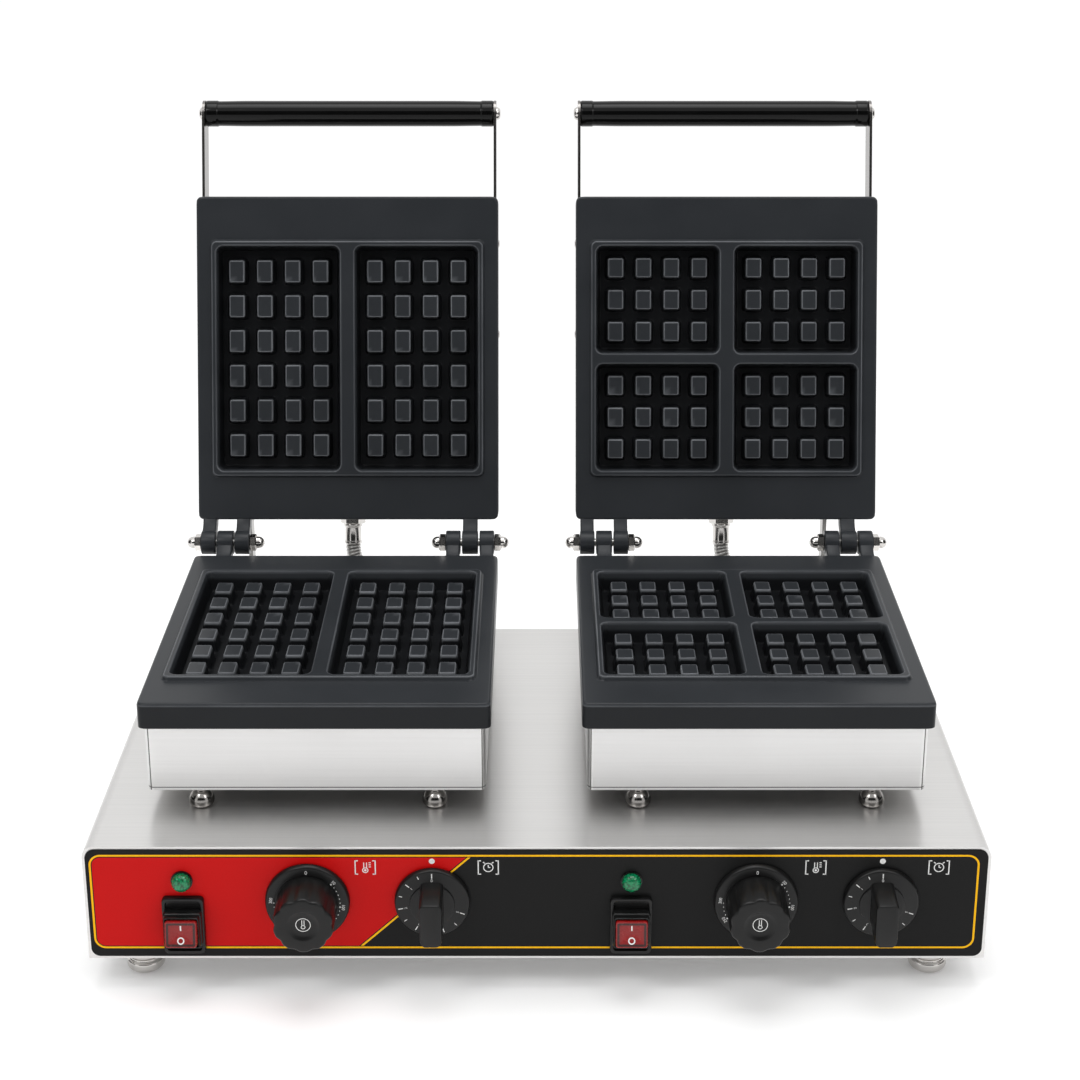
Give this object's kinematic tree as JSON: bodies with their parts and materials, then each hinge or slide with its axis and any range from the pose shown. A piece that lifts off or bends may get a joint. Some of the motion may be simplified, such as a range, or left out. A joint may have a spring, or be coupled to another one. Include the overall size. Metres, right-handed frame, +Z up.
{
  "type": "twin waffle maker",
  "caption": "Counter-top electric waffle maker: steel base with front dials and switches, and hinged baking stations side by side whose lids stand open, showing pegged rectangular cavities.",
  "frame": {"origin": "on the floor, under the middle of the whole object's box with both lids open", "axes": "+X to the right as seen from the front, +Y to the back, +Z up"},
  "size_m": [0.58, 0.4748, 0.5032],
  "materials": {
    "steel_sheet": "brushed stainless sheet",
    "plain_steel": "plain steel, lightly rolled",
    "bright_metal": "nickel plated",
    "printed_sheet": "printed plastic sheet, satin gloss",
    "coated_casting": "dark non-stick coating on cast aluminium",
    "black_plastic": "moulded, fine grain",
    "grip_plastic": "moulded heat-proof resin",
    "pale_plastic": "moulded insulator",
    "red_plastic": "translucent red",
    "green_lens": "translucent green",
    "heater_steel": "oxidised heater sheath",
    "copper_alloy": "drawn copper",
    "hose_metal": "wound metal hose"
  },
  "bodies": {
    "base": {"base_shell": "steel_sheet", "base_bottom_panel": "steel_sheet", "bottom_panel_screws": "bright_metal", "base_feet": "bright_metal", "control_overlay": "printed_sheet", "cord_gland": "black_plastic", "terminal_block": "pale_plastic", "indicator_lenses": "green_lens", "indicator_bodies": "black_plastic", "switch_housings": "black_plastic", "thermostat_bodies": "pale_plastic", "timer_bodies": "pale_plastic", "thermostat_bulbs": "copper_alloy", "left_lower_plate": "coated_casting", "left_lower_housing": "steel_sheet", "left_lower_element": "heater_steel", "left_lower_clamp_plate": "plain_steel", "left_station_feet": "bright_metal", "left_hinge_pins": "plain_steel", "left_hinge_nuts": "bright_metal", "left_lid_stop": "plain_steel", "left_lower_conduit_fitting": "bright_metal", "left_conduit": "hose_metal", "right_lower_plate": "coated_casting", "right_lower_housing": "steel_sheet", "right_lower_element": "heater_steel", "right_lower_clamp_plate": "plain_steel", "right_station_feet": "bright_metal", "right_hinge_pins": "plain_steel", "right_hinge_nuts": "bright_metal", "right_lid_stop": "plain_steel", "right_lower_conduit_fitting": "bright_metal", "right_conduit": "hose_metal"},
    "left_lid": {"left_upper_plate": "coated_casting", "left_upper_cover": "steel_sheet", "left_upper_element": "heater_steel", "left_upper_clamp_plate": "plain_steel", "left_handle_arms": "plain_steel", "left_grip": "grip_plastic", "left_handle_screws": "bright_metal", "left_upper_conduit_fitting": "bright_metal"},
    "left_temperature": {"left_temperature_knob": "black_plastic", "left_temperature_spindle": "plain_steel"},
    "left_timer": {"left_timer_knob": "black_plastic", "left_timer_spindle": "plain_steel"},
    "left_switch": {"left_rocker": "red_plastic"},
    "right_lid": {"right_upper_plate": "coated_casting", "right_upper_cover": "steel_sheet", "right_upper_element": "heater_steel", "right_upper_clamp_plate": "plain_steel", "right_handle_arms": "plain_steel", "right_grip": "grip_plastic", "right_handle_screws": "bright_metal", "right_upper_conduit_fitting": "bright_metal"},
    "right_temperature": {"right_temperature_knob": "black_plastic", "right_temperature_spindle": "plain_steel"},
    "right_timer": {"right_timer_knob": "black_plastic", "right_timer_spindle": "plain_steel"},
    "right_switch": {"right_rocker": "red_plastic"}
  },
  "joints": [
    {"name": "left_lid_hinge", "type": "hinge", "parent": "base", "child": "left_lid", "pos_m": [-0.144, 0.1012, 0.18665], "axis": [1, 0, 0], "range_deg": [0, 106], "deforming": ["left_conduit"]},
    {"name": "left_temperature_turn", "type": "hinge", "parent": "base", "child": "left_temperature", "pos_m": [-0.14675, -0.2058, 0.0665], "axis": [0, 1, 0], "range_deg": [0, 270]},
    {"name": "left_timer_turn", "type": "hinge", "parent": "base", "child": "left_timer", "pos_m": [-0.06675, -0.2058, 0.0665], "axis": [0, 1, 0], "range_deg": [0, 300]},
    {"name": "left_switch_tip", "type": "hinge", "parent": "base", "child": "left_switch", "pos_m": [-0.22675, -0.2156, 0.0495], "axis": [1, 0, 0], "range_deg": [0, 22]},
    {"name": "right_lid_hinge", "type": "hinge", "parent": "base", "child": "right_lid", "pos_m": [0.144, 0.1012, 0.18665], "axis": [1, 0, 0], "range_deg": [0, 106], "deforming": ["right_conduit"]},
    {"name": "right_temperature_turn", "type": "hinge", "parent": "base", "child": "right_temperature", "pos_m": [0.14075, -0.2058, 0.0665], "axis": [0, 1, 0], "range_deg": [0, 270]},
    {"name": "right_timer_turn", "type": "hinge", "parent": "base", "child": "right_timer", "pos_m": [0.22075, -0.2058, 0.0665], "axis": [0, 1, 0], "range_deg": [0, 300]},
    {"name": "right_switch_tip", "type": "hinge", "parent": "base", "child": "right_switch", "pos_m": [0.06075, -0.2156, 0.0495], "axis": [1, 0, 0], "range_deg": [0, 22]}
  ]
}
